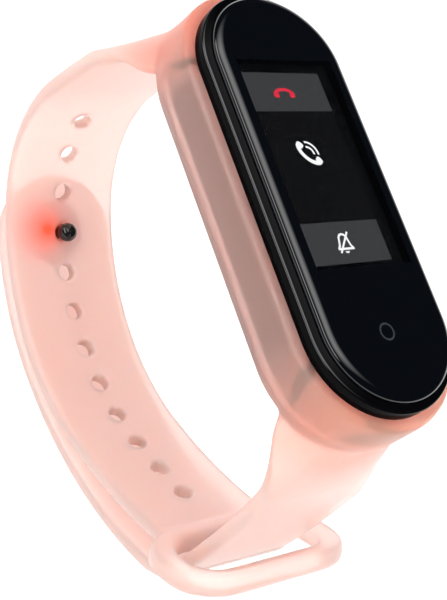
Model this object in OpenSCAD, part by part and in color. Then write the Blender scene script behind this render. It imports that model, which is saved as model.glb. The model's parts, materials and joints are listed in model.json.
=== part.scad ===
// Fitness tracker band: a tracker capsule held in a closed moulded strap.
// Frame: X runs along the wrist, Y runs along the display from its foot to its
// head, and Z points out of the display. The origin is the centre of the wrist.
// All sizes are in millimetres.

/* [Tracker capsule] */
// Length of the capsule along Y
capsule_len = 46.9; // [40:0.1:56]
// Width of the capsule's flange along X
capsule_w = 17.9; // [15.5:0.1:21]
// Depth of the capsule from its glass to its sensor bump
capsule_depth = 12; // [11.6:0.1:14.4]
// Height of the case's rim above the wrist's centre
rim_z = 29.5; // [27:0.1:36]
// Height of the black flange that shows above the cradle
flange_h = 1.5; // [1:0.1:2]
// How far the flange overhangs the case body all round
flange_reach = 0.6; // [0.4:0.05:0.8]
// Wall of the case
case_wall = 1.1; // [0.9:0.05:1.3]
// Thickness of the cover glass
glass_t = 1.1; // [0.9:0.05:1.3]
// How far the glass stands proud of the case's rim
glass_proud = 1.2; // [1:0.05:1.3]
// Width of the case's sloping shoulder round the glass
shoulder_w = 0.9; // [0.6:0.05:1.1]

/* [Display] */
// Lit width of the display
screen_w = 10.8; // [9:0.1:11]
// Lit length of the display
screen_len = 21.6; // [18:0.1:26]
// Shift of the display towards the capsule's head
screen_shift = 3.35; // [0:0.05:4]
// Thickness of the display panel
panel_t = 0.8; // [0.6:0.05:1]
// Radius of the touch button's ring
touch_r = 1; // [0.8:0.05:1.6]

/* [Strap] */
// Thickness of the strap
strap_t = 1.8; // [1.5:0.05:2.2]
// Width of the strap's long parallel run
strap_w = 15.6; // [13:0.1:18.8]
// Width of the strap where it leaves the cradle
root_w = 18.6; // [15.5:0.1:22]
// Wall of the cradle round the capsule
cradle_wall = 1.3; // [1:0.05:1.6]
// Depth of the cradle below the flange
cradle_depth = 7; // [6:0.1:8]
// Radius of the back of the ring, on the strap's inner face
back_r = 29.2; // [24.3:0.1:35]
// Radius of the shoulder between the back and the upper run
shoulder_r = 16.3; // [13.5:0.1:19.6]
// Radius of the strap's last stretch, up to the loop
loop_run_r = 68; // [57:1:82]

/* [Sizing holes and stud] */
// Number of sizing holes
hole_count = 12; // [9:1:12]
// Distance from one sizing hole to the next
hole_pitch = 5.1; // [4.2:0.05:5.4]
// Radius of each sizing hole
hole_r = 1.6; // [1.5:0.05:1.9]
// The hole that the stud is pressed into, counted from the cradle
stud_hole = 4; // [4:1:4]
// Radius of the stud's round head
stud_head_r = 1.2; // [1:0.05:1.25]
// Radius of the stud's neck
stud_neck_r = 0.75; // [0.6:0.05:0.9]
// Radius of the stud's outer cap
stud_cap_r = 4; // [3.3:0.1:4.8]
// Gap between the two layers of strap
lap_gap = 0.2; // [0.15:0.01:0.3]

/* [Loop] */
// Outer width of the loop
loop_w = 23; // [22.4:0.1:26]
// Width of the slot in the loop
slot_w = 17; // [16.4:0.1:18]
// Length of the slot along the strap
slot_len = 7.8; // [7.4:0.1:8.4]
// Width of the loop's end bar
bar_w = 2.6; // [2.2:0.1:3]
// Thickness of the loop
loop_t = 2.6; // [2.2:0.1:3]

/* [Insides] */
// Radius of the coin vibration motor
motor_r = 4; // [3.4:0.1:4.4]
// Height of the coin vibration motor
motor_h = 2.7; // [2.2:0.1:3]
// Width of the battery
battery_w = 10.8; // [9:0.1:11]
// Length of the battery
battery_len = 24.5; // [20.5:0.1:25]
// Thickness of the battery
battery_t = 3.5; // [2.9:0.1:3.7]
// Thickness of the main circuit board
board_t = 0.7; // [0.5:0.05:0.8]
// Radius of the clear heart-rate window
window_r = 4.2; // [3.6:0.1:4.6]

/* [Hidden] */
$fn = 96;

// Fits and small sizes
seat_gap = 0.08;
film = 0.15;
chamfer = 0.15;
groove = 0.08;
// Length of one flat along a strap's arcs: a hole is centred on every third one
facet = hole_pitch / 3;

degree = PI / 180;

// The capsule's outline is a stadium: two round ends and straight sides.
end_r = capsule_w / 2;
straight = capsule_len - capsule_w;
body_r = end_r - flange_reach;
cavity_r = body_r - case_wall;
glass_r = end_r - shoulder_w;
foot_r = body_r - 1.1;
foot_cavity_r = foot_r - case_wall;

// Heights of the capsule's levels
glass_top = rim_z + glass_proud;
glass_base = glass_top - glass_t;
flange_base = rim_z - flange_h;
shoulder_top = glass_base + 0.2;
bump_base = glass_top - capsule_depth;
case_base = bump_base + 0.8;
case_floor = case_base + 0.9;
cradle_base = flange_base - cradle_depth;
bevel_base = cradle_base + 0.3;
bevel_top = bevel_base + 1.4;
cavity_step = bevel_top + 0.4;

// Cradle outline
cradle_r = end_r + cradle_wall;
pocket_r = body_r + seat_gap;
pocket_foot_r = foot_r + seat_gap;
cradle_end = straight / 2 + cradle_r;

// Inside the capsule, from the floor upwards
sensor_y = 2;
sensor_board_t = 0.6;
sensor_board_top = case_floor + sensor_board_t;
battery_base = sensor_board_top + 0.3;
battery_top = battery_base + battery_t;
frame_base = max(battery_top + 0.2, cavity_step + 1.2);
frame_t = 0.8;
board_base = frame_base + frame_t;
board_top = board_base + board_t;
panel_top = glass_base - film;
panel_base = panel_top - panel_t;
panel_w = screen_w + 1.4;
panel_len = screen_len + 3.6;
inside_len = straight / 2 + cavity_r;
post_y = straight / 2 + foot_cavity_r - 1.6;
post_r = 1.3;
screw_r = 0.5;
screw_head_r = 1;
battery_y = -post_y + post_r + 0.4 + battery_len / 2;
motor_y = post_y - post_r - 0.5 - motor_r;
contact_x = 2.4;
contact_y = -post_y + post_r + 1.6;
contact_r = 0.9;
touch_y = -(straight / 2 + end_r) + 7.9;
connector_h = 0.5;

// The ring's outline lies in the YZ plane and is made of tangent arcs.
// Angles are measured from +Y towards +Z, round each arc's own centre.
function point_on(c, r, a) = [c[0] + r * cos(a), c[1] + r * sin(a)];
function nested(c, r_from, r_to, a) = point_on(c, r_from - r_to, a);
function angle_of(c, p) = atan2(p[1] - c[1], p[0] - c[0]);

// Points along a chain of tangent arcs, each [centre, radius, from, to], with
// every arc moved outwards by d
function steps(arc) = ceil(arc[1] * degree * abs(arc[2] - arc[3]) / facet - 0.01);
function chain(arcs, d) = [
  for (k = [0 : len(arcs) - 1], i = [0 : steps(arcs[k]) - (k < len(arcs) - 1 ? 1 : 0)])
    let (arc = arcs[k])
    point_on(arc[0], arc[1] + d, arc[2] + (arc[3] - arc[2]) * i / steps(arc))
];
function reversed(list) = [for (i = [len(list) - 1 : -1 : 0]) list[i]];

// Centre of the arc of radius r that starts at point p and runs smoothly into
// the smaller arc (c, r_small). side picks which of the two such arcs.
function run_centre(p, r, c, r_small, side) =
  let (
    d = norm(c - p),
    along = (r * r - (r - r_small) * (r - r_small) + d * d) / (2 * d),
    across = sqrt(r * r - along * along),
    u = (c - p) / d
  )
  p + along * u + side * across * [-u[1], u[0]];

// The stud's hole lies half a pitch past the start of the back arc, so that no
// hole is cut across a joint between two arcs. The back arc takes about 60
// degrees, in whole pitches.
back_holes = round(60 * degree * back_r / hole_pitch);
back_c = [6.2, 9.3];
back_from = -57.5;
stud_a = back_from - hole_pitch / 2 / back_r / degree;

// Inner face of the holed strap: upper run, shoulder, back, and run to the loop
back_to = back_from - back_holes * hole_pitch / back_r / degree;
shoulder_c = nested(back_c, back_r, shoulder_r, back_from);
loop_run_c = nested(back_c, back_r, loop_run_r, back_to);
loop_run_to = -144;
upper_run_r = 96;
upper_start = [cradle_end - cradle_wall - 0.1, cradle_base];
upper_run_c = run_centre(upper_start, upper_run_r, shoulder_c, shoulder_r, -1);
upper_from = angle_of(upper_run_c, upper_start);
shoulder_from = angle_of(upper_run_c, shoulder_c);

// Outer face of the stud strap: tail, sling under the loop run, bend, lower run
tail_in = strap_t + lap_gap;
tail_out = tail_in + strap_t;
tail_r = back_r + tail_out;
hinge_a = -94;
sling_r = 49;
sling_c = nested(back_c, tail_r, sling_r, hinge_a);
sling_to = -131;
bend_r = 9;
bend_c = nested(sling_c, sling_r, bend_r, sling_to);
lower_run_r = 158;
lower_start = [-(cradle_end - 0.3), cradle_base];
lower_run_c = run_centre(lower_start, lower_run_r, bend_c, bend_r, 1);
lower_from = (angle_of(lower_run_c, lower_start) + 360) % 360;
bend_to = (angle_of(lower_run_c, bend_c) + 360) % 360 - 360;

// The stud and the sizing holes, placed by arc length from the stud
stud_lead = hole_pitch / 2;
back_left = (back_holes - 0.5) * hole_pitch;
function hole_at(s) =
  s < -stud_lead
    ? [shoulder_c, shoulder_r, back_from + (-s - stud_lead) / shoulder_r / degree]
    : s < back_left
      ? [back_c, back_r, stud_a - s / back_r / degree]
      : [loop_run_c, loop_run_r, back_to - (s - back_left) / loop_run_r / degree];

// The loop lies across the end of the loop run.
loop_len = slot_len + 2 * bar_w;
loop_mid_a = loop_run_to + loop_len / 2 / loop_run_r / degree;
loop_root_a = loop_run_to + (loop_len + 1) / loop_run_r / degree;

tpu = [1, 0.74, 0.68, 0.75];
gloss_black = [0.05, 0.05, 0.06];
gold = [0.85, 0.68, 0.3];
steel = [0.75, 0.76, 0.78];
board_green = [0.08, 0.3, 0.16];
flex_amber = [0.75, 0.45, 0.12];

// ---------------------------------------------------------------- helpers

// A solid or ring with a stadium outline. The profile is drawn as [r, z].
module stadium(profile, half = straight / 2) {
  for (turn = [0, 180])
    rotate([0, 0, turn])
      translate([0, half, 0])
        rotate_extrude(angle = 180)
          polygon(profile);
  for (side = [0, 1])
    mirror([side, 0, 0])
      rotate([90, 0, 0])
        linear_extrude(2 * half, center = true)
          polygon(profile);
}

module plain_stadium(r, low, high) {
  stadium([[0, low], [r, low], [r, high], [0, high]]);
}

// A bent stretch of strap: one arc round an axis along X through centre c
module ribbon(c, r_in, r_out, from, to, width) {
  translate([0, c[0], c[1]])
    rotate([90, 0, 90])
      rotate([0, 0, to])
        rotate_extrude(angle = from - to, $fn = 360)
          translate([r_in, -width / 2])
            square([r_out - r_in, width]);
}

// A stretch of strap between two lines of points in the YZ plane
module band(inner, outer) {
  rotate([90, 0, 90])
    linear_extrude(root_w + 2, center = true)
      polygon(concat(inner, reversed(outer)));
}

// Puts children on an arc of the ring with their Z axis pointing outwards
module on_ring(c, r, a) {
  translate([0, c[0] + r * cos(a), c[1] + r * sin(a)])
    rotate([a - 90, 0, 0])
      children();
}

module rounded_rect(size, r) {
  square([size[0] - 2 * r, size[1]], center = true);
  square([size[0], size[1] - 2 * r], center = true);
  for (x = [-1, 1], y = [-1, 1])
    translate([x * (size[0] / 2 - r), y * (size[1] / 2 - r)])
      circle(r);
}

module slab(size, low, r = 0.5) {
  translate([0, 0, low])
    linear_extrude(size[2])
      rounded_rect([size[0], size[1]], r);
}

// Front outline of a strap that narrows from the cradle downwards
module narrowing(top_w, low_w, drop) {
  reach = capsule_len;
  rotate([90, 0, 0])
    linear_extrude(2 * reach, center = true)
      polygon([
        [-top_w / 2, cradle_base], [-low_w / 2, cradle_base - drop],
        [-low_w / 2, cradle_base - 2 * reach], [low_w / 2, cradle_base - 2 * reach],
        [low_w / 2, cradle_base - drop], [top_w / 2, cradle_base]
      ]);
}

// ------------------------------------------------------------------ strap

// Solid end of the cradle where a strap grows out of it. y_out and y_in are the
// strap's faces at the cradle's base.
module strap_root(y_out, y_in) {
  side = sign(y_out);
  y_wall = side * (straight / 2 + pocket_foot_r);
  translate([-root_w / 2, 0, 0])
    rotate([90, 0, 90])
      linear_extrude(root_w)
        polygon([
          [y_in, cradle_base], [y_out, cradle_base],
          [y_out - side * 0.35, cradle_base + 2.5],
          [y_out - side * 4.5, flange_base - 1.5],
          [y_wall - side * 6, flange_base - 1.5], [y_wall - side * 6, cradle_base]
        ]);
}

module strap_cradle() {
  round_low = 1.6;
  color(tpu)
    difference() {
      union() {
        stadium([
          [0, cradle_base], [cradle_r - round_low, cradle_base],
          [cradle_r - 0.5, cradle_base + 0.5], [cradle_r, cradle_base + round_low],
          [cradle_r - 0.1, flange_base], [0, flange_base]
        ]);
        strap_root(upper_start[0] + strap_t, upper_start[0]);
        strap_root(lower_start[0], lower_start[0] + strap_t);
      }
      stadium([
        [0, cradle_base - 1], [pocket_foot_r, cradle_base - 1],
        [pocket_foot_r, bevel_base - seat_gap], [pocket_r, bevel_top - seat_gap],
        [pocket_r, flange_base + 1], [0, flange_base + 1]
      ]);
    }
}

module sizing_holes() {
  for (i = [1 : hole_count]) {
    spot = hole_at((i - stud_hole) * hole_pitch);
    on_ring(spot[0], spot[1], spot[2])
      rotate([0, 0, 45])
        cylinder(r = hole_r, h = 4 * strap_t, center = true, $fn = 48);
  }
}

module holed_strap() {
  arcs = [
    [upper_run_c, upper_run_r, upper_from + 3, shoulder_from],
    [shoulder_c, shoulder_r, shoulder_from, back_from],
    [back_c, back_r, back_from, back_to],
    [loop_run_c, loop_run_r, back_to, loop_root_a]
  ];
  color(tpu)
    difference() {
      intersection() {
        band(chain(arcs, 0), chain(arcs, strap_t));
        narrowing(root_w, strap_w, 13);
      }
      sizing_holes();
    }
}

module clasp_loop() {
  color(tpu)
    intersection() {
      ribbon(loop_run_c, loop_run_r - (loop_t - strap_t) / 2,
             loop_run_r + strap_t + (loop_t - strap_t) / 2,
             loop_root_a, loop_run_to, loop_w + 2);
      on_ring(loop_run_c, loop_run_r, loop_mid_a)
        linear_extrude(8 * loop_t, center = true)
          difference() {
            union() {
              rounded_rect([loop_w, loop_len], 4.2);
              translate([-strap_w / 2, -loop_len / 2 - 3])
                square([strap_w, loop_len / 2]);
            }
            rounded_rect([slot_w, slot_len], 2);
          }
    }
}

module lower_strap() {
  arcs = [
    [sling_c, sling_r, hinge_a, sling_to],
    [bend_c, bend_r, sling_to, bend_to],
    [lower_run_c, lower_run_r, bend_to, lower_from - 363]
  ];
  color(tpu)
    intersection() {
      band(chain(arcs, -strap_t), chain(arcs, 0));
      narrowing(root_w, strap_w, 13);
    }
}

module strap_tail() {
  tip_r = strap_w / 2;
  tip_lead = (tip_r + 1) / tail_r / degree;
  color(tpu)
    difference() {
      intersection() {
        ribbon(back_c, back_r + tail_in, tail_r, stud_a + tip_lead, hinge_a, strap_w + 2);
        on_ring(back_c, tail_r, stud_a)
          linear_extrude(12 * strap_t, center = true) {
            circle(tip_r);
            translate([-tip_r, 0])
              square([2 * tip_r, 3 * tip_r]);
          }
      }
      on_ring(back_c, tail_r, stud_a) {
        cylinder(r = stud_neck_r + 0.3, h = 4 * strap_t, center = true);
        translate([0, 0, -0.9])
          cylinder(r = stud_cap_r, h = 4);
      }
    }
}

module stud_cap() {
  dish = 0.35;
  color([0.95, 0.33, 0.24])
    on_ring(back_c, tail_r, stud_a)
      translate([0, 0, -0.9])
        difference() {
          rotate_extrude()
            polygon([
              [0, 0], [stud_cap_r, 0], [stud_cap_r, 0.75],
              [stud_cap_r - 0.3, 1.05], [0, 1.05 + dish]
            ]);
          translate([0, 0, -1])
            cylinder(r = stud_neck_r, h = 1.6);
        }
}

module stud_post() {
  head_centre = -(tail_out + stud_head_r * 0.75);
  color([0.04, 0.04, 0.04])
    on_ring(back_c, tail_r, stud_a) {
      translate([0, 0, head_centre])
        sphere(r = stud_head_r);
      translate([0, 0, head_centre])
        cylinder(r = stud_neck_r, h = -head_centre - 0.3);
      translate([0, 0, -strap_t])
        cylinder(r = stud_neck_r + 0.3, h = strap_t - 0.9);
    }
}

// ---------------------------------------------------------------- capsule

module case_tub() {
  bump_r = window_r + 1.3;
  color(gloss_black) {
    difference() {
      union() {
        stadium([
          [0, case_base], [foot_r - 0.5, case_base], [foot_r, case_base + 0.5],
          [foot_r, bevel_base], [body_r, bevel_top], [body_r, flange_base],
          [end_r, flange_base], [end_r, rim_z - chamfer], [end_r - chamfer, rim_z],
          [glass_r + groove, shoulder_top], [0, shoulder_top]
        ]);
        translate([0, sensor_y, bump_base + 0.2])
          cylinder(r1 = bump_r - 0.5, r2 = bump_r, h = case_base - bump_base);
      }
      plain_stadium(glass_r + groove, glass_base - film, shoulder_top + 1);
      stadium([
        [0, case_floor], [foot_cavity_r, case_floor], [foot_cavity_r, cavity_step - 1.4],
        [cavity_r, cavity_step], [cavity_r, glass_top], [0, glass_top]
      ]);
      translate([0, sensor_y, bump_base - 1])
        cylinder(r = window_r, h = capsule_depth);
      for (x = [-1, 1])
        translate([x * contact_x, contact_y, case_base - 1])
          cylinder(r = contact_r, h = 4);
    }
    for (y = [-1, 1])
      translate([0, y * post_y, case_floor])
        difference() {
          cylinder(r = post_r, h = frame_base - case_floor);
          translate([0, 0, frame_base - case_floor - 2.6])
            cylinder(r = screw_r, h = 3);
        }
  }
}

module glass_gasket() {
  width = 0.6;
  color([0.1, 0.1, 0.1])
    stadium([
      [glass_r - width, glass_base - film], [glass_r, glass_base - film],
      [glass_r, glass_base], [glass_r - width, glass_base]
    ]);
}

module cover_glass() {
  color([0.02, 0.02, 0.03])
    stadium([
      [0, glass_base], [glass_r, glass_base], [glass_r, glass_base + 0.35],
      [glass_r - 0.12, glass_base + 0.62], [glass_r - 0.4, glass_base + 0.86],
      [glass_r - 0.8, glass_base + 1.02], [glass_r - 1.3, glass_top], [0, glass_top]
    ]);
}

module display_bond() {
  color([0.8, 0.85, 0.9])
    translate([0, screen_shift, 0])
      slab([panel_w - 0.6, panel_len - 0.6, film], panel_top);
}

module display_panel() {
  color([0.03, 0.03, 0.05])
    translate([0, screen_shift, 0])
      slab([panel_w, panel_len, panel_t], panel_base);
}

module display_flex() {
  width = 5;
  thick = 0.12;
  fold_r = (panel_base - board_top - connector_h) / 2;
  edge = screen_shift - panel_len / 2;
  color(flex_amber)
    translate([-width / 2, edge + 1, panel_base - fold_r])
      rotate([90, 0, 90])
        linear_extrude(width)
          difference() {
            union() {
              circle(fold_r);
              translate([0, -fold_r])
                square([3, 2 * fold_r]);
            }
            circle(fold_r - thick);
            translate([0, -fold_r + thick])
              square([4, 2 * (fold_r - thick)]);
          }
}

module touch_pad() {
  color(gold)
    translate([0, touch_y, glass_base - film])
      difference() {
        cylinder(r = touch_r + 1, h = film);
        translate([0, 0, -1])
          cylinder(r = touch_r - 0.4, h = 2);
      }
}

module inner_frame() {
  color([0.2, 0.2, 0.22])
    difference() {
      plain_stadium(cavity_r - 0.15, frame_base, board_base);
      translate([0, screen_shift, frame_base - 1])
        linear_extrude(frame_t + 2)
          rounded_rect([battery_w - 3, battery_len - 8], 1);
      for (y = [-1, 1])
        translate([0, y * post_y, frame_base - 1])
          cylinder(r = screw_r + 0.05, h = frame_t + 2);
      translate([-cavity_r - 1, -2.5, frame_base - 1])
        cube([1 + cavity_r - battery_w / 2 - 0.05, 5, frame_t + 2]);
      translate([-3.4, battery_y - battery_len / 2 - 0.2, frame_base - 1])
        cube([6.8, 1, frame_t + 2]);
    }
}

module frame_screws() {
  color(steel)
    for (y = [-1, 1])
      translate([0, y * post_y, 0])
        difference() {
          union() {
            translate([0, 0, frame_base - 2.4])
              cylinder(r = screw_r, h = board_top - frame_base + 2.4);
            translate([0, 0, board_top])
              cylinder(r = screw_head_r, h = 0.5);
          }
          for (turn = [0, 90])
            rotate([0, 0, turn])
              translate([-0.6, -0.12, board_top + 0.25])
                cube([1.2, 0.24, 1]);
        }
}

module main_board() {
  color(board_green)
    difference() {
      plain_stadium(cavity_r - 0.35, board_base, board_top);
      for (y = [-1, 1])
        translate([0, y * post_y, board_base - 1])
          cylinder(r = screw_r + 0.05, h = board_t + 2);
    }
}

can_y = 9;
can_size = [10, 13];
can_h = 1.1;

module shield_can() {
  skin = 0.15;
  color(steel)
    translate([0, can_y, board_top])
      difference() {
        linear_extrude(can_h)
          rounded_rect(can_size, 0.6);
        translate([0, 0, -1])
          linear_extrude(can_h - skin + 1)
            rounded_rect([can_size[0] - 2 * skin, can_size[1] - 2 * skin], 0.45);
      }
}

module chip(size, y) {
  color([0.12, 0.12, 0.13])
    translate([0, y, board_top])
      linear_extrude(size[2])
        difference() {
          square([size[0], size[1]], center = true);
          translate([-size[0] / 2, size[1] / 2])
            circle(0.3);
        }
}

module processor_chip() {
  chip([6, 6, 0.75], can_y + 2);
}

module memory_chip() {
  chip([5, 3.4, 0.6], can_y - 3.8);
}

module motion_sensor() {
  chip([2, 2, 0.7], can_y - can_size[1] / 2 - 2.5);
}

module display_connector() {
  edge = screen_shift - panel_len / 2;
  color([0.85, 0.83, 0.76])
    translate([-2.8, edge + 1.2, board_top])
      difference() {
        cube([5.6, 2.4, connector_h]);
        translate([0.4, 0.5, 0.2])
          cube([4.8, 1.4, connector_h]);
      }
}

module battery() {
  seam = 0.3;
  color([0.72, 0.74, 0.78])
    translate([0, battery_y, 0]) {
      slab([battery_w, battery_len, battery_t], battery_base, 1.2);
      translate([0, -battery_len / 2 + 0.6 + seam, battery_base + battery_t / 2])
        cube([battery_w - 2.4, 1.2, 0.3], center = true);
    }
}

module battery_tabs() {
  color(steel)
    for (x = [-1, 1])
      translate([x * 2.4 - 0.75, battery_y - battery_len / 2 - 0.15, battery_base + 1.5])
        cube([1.5, 0.15, board_base - battery_base - 1.5]);
}

module battery_pad() {
  color([0.15, 0.15, 0.16])
    translate([0, battery_y, 0])
      slab([battery_w - 1.6, battery_len - 2, battery_base - sensor_board_top],
           sensor_board_top);
}

module antenna_flex() {
  low = cavity_step + 0.1;
  height = frame_base - 0.2 - low;
  color(flex_amber)
    translate([cavity_r - 0.25, -straight / 2, low])
      difference() {
        cube([0.2, straight, height]);
        for (i = [0 : 3])
          translate([-1, 3 + i * straight / 4, 0.2 * height])
            cube([2, straight / 4 - 2, (0.25 + 0.1 * i) * height]);
      }
}

module sensor_board() {
  low_end = contact_y - contact_r - 0.6;
  high_end = sensor_y + window_r + 1.2;
  color(board_green)
    translate([0, (low_end + high_end) / 2, 0])
      slab([2 * foot_cavity_r - 0.9, high_end - low_end, sensor_board_t], case_floor, 1);
}

module sensor_flex() {
  x = -battery_w / 2 - 0.2;
  color(flex_amber)
    translate([x, -2, sensor_board_top])
      cube([0.12, 4, board_base - sensor_board_top]);
}

module sensor_leds() {
  color([0.6, 0.95, 0.6])
    for (y = [-1, 1])
      translate([0, sensor_y + y * 2.6, case_floor - 0.5])
        linear_extrude(0.5)
          rounded_rect([1.6, 0.9], 0.15);
}

module photodiode() {
  color([0.1, 0.12, 0.2])
    translate([0, sensor_y, case_floor - 0.5])
      linear_extrude(0.5)
        rounded_rect([2.4, 2.2], 0.15);
}

module light_barrier() {
  color([0.05, 0.05, 0.05])
    translate([0, sensor_y, case_floor - 0.6])
      linear_extrude(0.6)
        difference() {
          circle(window_r - 0.05);
          rounded_rect([2.8, 2.6], 0.2);
          for (y = [-1, 1])
            translate([0, y * 2.6])
              rounded_rect([2, 1.3], 0.2);
        }
}

module sensor_window() {
  rim = case_floor - 0.6 - bump_base;
  color([0.75, 0.85, 0.8, 0.5])
    translate([0, sensor_y, bump_base])
      rotate_extrude()
        polygon([
          [0, 0], [window_r - 0.9, 0], [window_r - 0.35, 0.12],
          [window_r, 0.35], [window_r, rim], [0, rim]
        ]);
}

module charge_contacts() {
  color(gold)
    for (x = [-1, 1])
      translate([x * contact_x, contact_y, case_base + 0.05])
        cylinder(r = contact_r, h = case_floor - case_base - 0.05);
}

// ------------------------------------------------------- vibration motor

motor_base = case_floor;
motor_skin = 0.2;
shaft_r = 0.35;

module at_motor() {
  translate([0, motor_y, motor_base])
    children();
}

module motor_case() {
  color(steel)
    at_motor()
      difference() {
        cylinder(r = motor_r, h = motor_h - motor_skin);
        translate([0, 0, motor_skin])
          cylinder(r = motor_r - motor_skin, h = motor_h);
        translate([0, 0, -1])
          cylinder(r = shaft_r, h = 3);
      }
}

module motor_cover() {
  color(steel)
    at_motor()
      translate([0, 0, motor_h - motor_skin])
        difference() {
          cylinder(r = motor_r, h = motor_skin);
          translate([0, 0, -1])
            cylinder(r = shaft_r, h = 3);
        }
}

module motor_shaft() {
  color([0.6, 0.6, 0.62])
    at_motor()
      cylinder(r = shaft_r, h = motor_h);
}

module motor_bushing() {
  color([0.75, 0.55, 0.25])
    at_motor()
      translate([0, 0, motor_skin + 0.2])
        difference() {
          cylinder(r = shaft_r + 0.45, h = motor_h - 2 * motor_skin - 0.4);
          translate([0, 0, -1])
            cylinder(r = shaft_r + 0.04, h = motor_h + 2);
        }
}

module motor_weight() {
  inner = shaft_r + 0.45;
  outer = motor_r - motor_skin - 0.25;
  color([0.5, 0.5, 0.52])
    at_motor()
      translate([0, 0, motor_skin + 0.35]) {
        rotate_extrude(angle = 180)
          translate([inner, 0])
            square([outer - inner, motor_h - 2 * motor_skin - 0.7]);
        rotate([0, 0, 180])
          rotate_extrude(angle = 180)
            translate([inner, 0])
              square([outer - inner - 1, 0.4]);
      }
}

strap_cradle();
holed_strap();
clasp_loop();
lower_strap();
strap_tail();
stud_cap();
stud_post();
case_tub();
glass_gasket();
cover_glass();
display_bond();
display_panel();
display_flex();
touch_pad();
inner_frame();
frame_screws();
main_board();
shield_can();
processor_chip();
memory_chip();
motion_sensor();
display_connector();
battery();
battery_tabs();
battery_pad();
antenna_flex();
sensor_board();
sensor_flex();
sensor_leds();
photodiode();
light_barrier();
sensor_window();
charge_contacts();
motor_case();
motor_cover();
motor_shaft();
motor_bushing();
motor_weight();
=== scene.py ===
import json
import logging
import math
from dataclasses import dataclass, field
from enum import Enum
from typing import Callable, Sequence

import bpy
import numpy as np
from mathutils import Matrix, Vector


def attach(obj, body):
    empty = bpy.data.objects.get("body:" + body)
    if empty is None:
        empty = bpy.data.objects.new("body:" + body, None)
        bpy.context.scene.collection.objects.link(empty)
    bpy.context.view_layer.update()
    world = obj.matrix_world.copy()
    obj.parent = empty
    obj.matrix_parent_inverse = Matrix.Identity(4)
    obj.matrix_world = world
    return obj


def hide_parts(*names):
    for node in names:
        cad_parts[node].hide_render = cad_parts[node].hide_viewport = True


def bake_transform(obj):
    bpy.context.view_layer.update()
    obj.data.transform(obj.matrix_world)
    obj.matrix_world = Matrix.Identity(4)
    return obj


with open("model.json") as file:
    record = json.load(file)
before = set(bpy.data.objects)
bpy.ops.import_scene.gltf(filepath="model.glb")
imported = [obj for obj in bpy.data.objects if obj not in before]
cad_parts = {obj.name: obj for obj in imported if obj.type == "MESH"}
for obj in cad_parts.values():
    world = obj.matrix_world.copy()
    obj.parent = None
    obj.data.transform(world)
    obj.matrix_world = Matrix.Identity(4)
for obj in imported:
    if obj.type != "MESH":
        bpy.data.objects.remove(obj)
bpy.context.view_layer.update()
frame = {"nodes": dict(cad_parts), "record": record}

MM = 0.001
LOG = logging.getLogger("tracker_band")

Pair = tuple[float, float]
Colour = tuple[float, float, float]


# ------------------------------------------------------------------ shaders


class Socket:
    """A shader socket that can be used in Python arithmetic."""

    def __init__(self, shade: "Shade", link: bpy.types.NodeSocket) -> None:
        """Keeps the socket and the shader it belongs to."""
        self.shade = shade
        self.link = link

    def _maths(self, operation: str, *values: object) -> "Socket":
        """Adds one Math node.

        Args:
            operation: the Math node's operation.
            values: its inputs, as numbers or sockets.

        Returns:
            The node's result.
        """
        return self.shade.node("ShaderNodeMath", {"operation": operation}, dict(enumerate(values)))

    def __add__(self, other: object) -> "Socket":
        """Sum of this and another value."""
        return self._maths("ADD", self, other)

    __radd__ = __add__

    def __sub__(self, other: object) -> "Socket":
        """This less another value."""
        return self._maths("SUBTRACT", self, other)

    def __rsub__(self, other: object) -> "Socket":
        """Another value less this."""
        return self._maths("SUBTRACT", other, self)

    def __mul__(self, other: object) -> "Socket":
        """Product of this and another value."""
        return self._maths("MULTIPLY", self, other)

    __rmul__ = __mul__

    def __truediv__(self, other: object) -> "Socket":
        """This divided by another value."""
        return self._maths("DIVIDE", self, other)

    def __pow__(self, other: object) -> "Socket":
        """This raised to a power."""
        return self._maths("POWER", self, other)

    def __abs__(self) -> "Socket":
        """This value without its sign."""
        return self._maths("ABSOLUTE", self)

    def clamped(self) -> "Socket":
        """This value kept between 0 and 1."""
        return self._maths("MINIMUM", self._maths("MAXIMUM", self, 0.0), 1.0)

    def below(self, edge: float, soft: float) -> "Socket":
        """A mask that falls from 1 to 0 where this value passes an edge.

        Args:
            edge: the value at the middle of the fall.
            soft: the width of the fall.

        Returns:
            The mask.
        """
        return ((edge - self) / soft + 0.5).clamped()


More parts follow.
